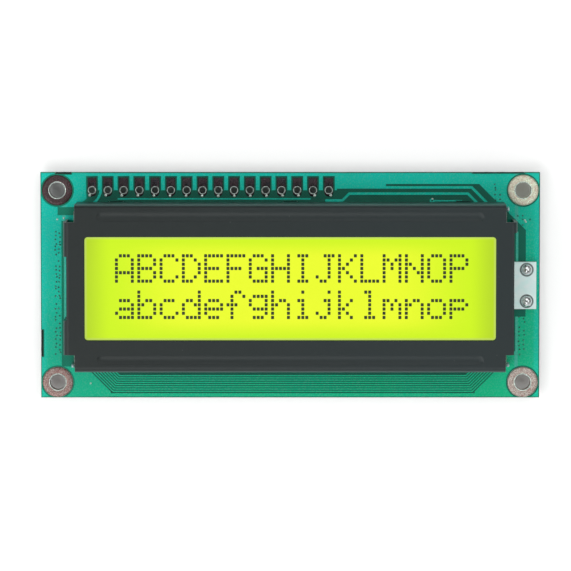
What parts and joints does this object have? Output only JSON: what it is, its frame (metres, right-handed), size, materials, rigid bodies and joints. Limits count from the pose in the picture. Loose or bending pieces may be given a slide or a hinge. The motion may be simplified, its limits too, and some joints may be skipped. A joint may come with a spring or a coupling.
{
  "type": "character lcd module",
  "caption": "Flat character display: a liquid crystal cell and LED backlight held by a folded black steel bezel on a green circuit board with a row of header holes and corner mounting holes.",
  "frame": {"origin": "under the middle of the circuit board, at the level of the tips of the bezel's twisted tabs, on which the module lies", "axes": "+X along the display's lines of text, from left to right; +Y towards the header row, the top of the text; +Z out of the display's face, towards the reader"},
  "size_m": [0.0804, 0.0364, 0.012],
  "materials": {
    "solder_mask": "glossy green solder mask on glass epoxy",
    "masked_copper": "glossy, brighter green over copper",
    "tinned_copper": "uneven hot tinned copper",
    "black_steel": "semi-gloss black",
    "display_film": "smooth film, lit yellow-green from behind",
    "rear_film": "smooth film",
    "display_glass": "clear, ground edges",
    "seal_resin": "cured resin",
    "liquid_crystal": "clear yellow-green layer",
    "zebra_rubber": "layered conductive rubber",
    "white_plastic": "moulded white",
    "white_board": "white solder mask",
    "diffuser_film": "frosted film",
    "led_die": "bare chips",
    "solder": "bright solder",
    "blob_epoxy": "glossy black epoxy",
    "resistor_body": "black glaze with tinned ends",
    "capacitor_body": "tan ceramic with tinned ends"
  },
  "bodies": {
    "root": {"circuit_board": "solder_mask", "front_copper": "masked_copper", "back_copper": "masked_copper", "header_pads": "tinned_copper", "mount_land_1": "tinned_copper", "mount_land_2": "tinned_copper", "mount_land_3": "tinned_copper", "mount_land_4": "tinned_copper", "bezel": "black_steel", "front_polariser": "display_film", "front_glass": "display_glass", "cell_seal": "seal_resin", "end_seal": "seal_resin", "liquid_crystal": "liquid_crystal", "rear_glass": "display_glass", "rear_polariser": "rear_film", "zebra_strip_top": "zebra_rubber", "zebra_strip_bottom": "zebra_rubber", "contact_fingers_top": "tinned_copper", "contact_fingers_bottom": "tinned_copper", "diffuser_sheet": "diffuser_film", "light_box": "white_plastic", "led_board": "white_board", "led_dies": "led_die", "backlight_pin_anode": "solder", "backlight_pin_cathode": "solder", "ear_joint_anode": "solder", "ear_joint_cathode": "solder", "back_joint_anode": "solder", "back_joint_cathode": "solder", "controller_blob": "blob_epoxy", "driver_blob": "blob_epoxy", "resistor_1": "resistor_body", "resistor_2": "resistor_body", "resistor_3": "resistor_body", "resistor_4": "resistor_body", "resistor_5": "resistor_body", "resistor_6": "resistor_body", "resistor_7": "resistor_body", "resistor_8": "resistor_body", "capacitor_1": "capacitor_body", "capacitor_2": "capacitor_body", "capacitor_3": "capacitor_body", "chip_solder": "solder"}
  },
  "joints": []
}
